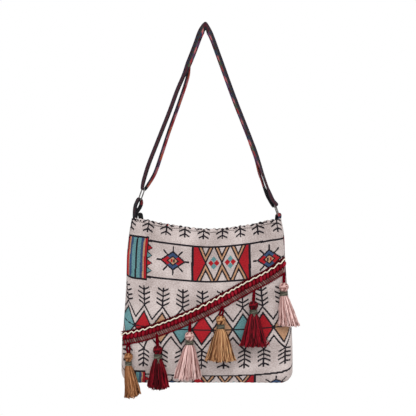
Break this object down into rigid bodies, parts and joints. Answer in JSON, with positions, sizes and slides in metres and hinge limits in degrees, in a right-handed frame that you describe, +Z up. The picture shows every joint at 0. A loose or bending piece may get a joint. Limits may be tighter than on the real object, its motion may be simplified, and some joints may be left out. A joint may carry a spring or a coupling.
{
  "type": "woven shoulder bag",
  "caption": "Soft cloth shoulder bag with a sagging open mouth, webbing strap on wire rings, and a slanting braid hung with tassels.",
  "frame": {"origin": "under the top of the strap, at the middle of its width, where the bag hangs", "axes": "+Z up, +X to the right of the bag seen from the front, -Y towards the front"},
  "size_m": [0.3476, 0.0988, 0.7363],
  "materials": {
    "cloth": "woven, patterned",
    "zip": "woven tape",
    "chenille": "chenille pile",
    "heading": "gimp braid",
    "cord": "twisted cord",
    "tassel_brown": "silky thread",
    "tassel_gold": "silky thread",
    "tassel_maroon": "silky thread",
    "tassel_pink": "silky thread",
    "tie": "wound thread",
    "webbing": "striped webbing",
    "ring_metal": "nickel plated"
  },
  "bodies": {
    "root": {"front_panel": "cloth", "back_panel": "cloth", "zip_tape_front": "zip", "zip_tape_back": "zip", "zip_end_tab": "zip", "trim_chenille": "chenille", "trim_heading": "heading", "trim_cord": "cord", "tassel_1": "tassel_brown", "tassel_2": "tassel_maroon", "tassel_3": "tassel_pink", "tassel_4": "tassel_gold", "tassel_5": "tassel_maroon", "tassel_6": "tassel_pink", "tassel_1_tie": "tie", "tassel_2_tie": "tie", "tassel_3_tie": "tie", "tassel_4_tie": "tie", "tassel_5_tie": "tie", "tassel_6_tie": "tie", "tassel_1_loop": "chenille", "tassel_2_loop": "chenille", "tassel_3_loop": "chenille", "tassel_4_loop": "chenille", "tassel_5_loop": "chenille", "tassel_6_loop": "chenille", "strap": "webbing", "tab_left": "webbing", "tab_right": "webbing", "ring_left": "ring_metal", "ring_right": "ring_metal"}
  },
  "joints": []
}
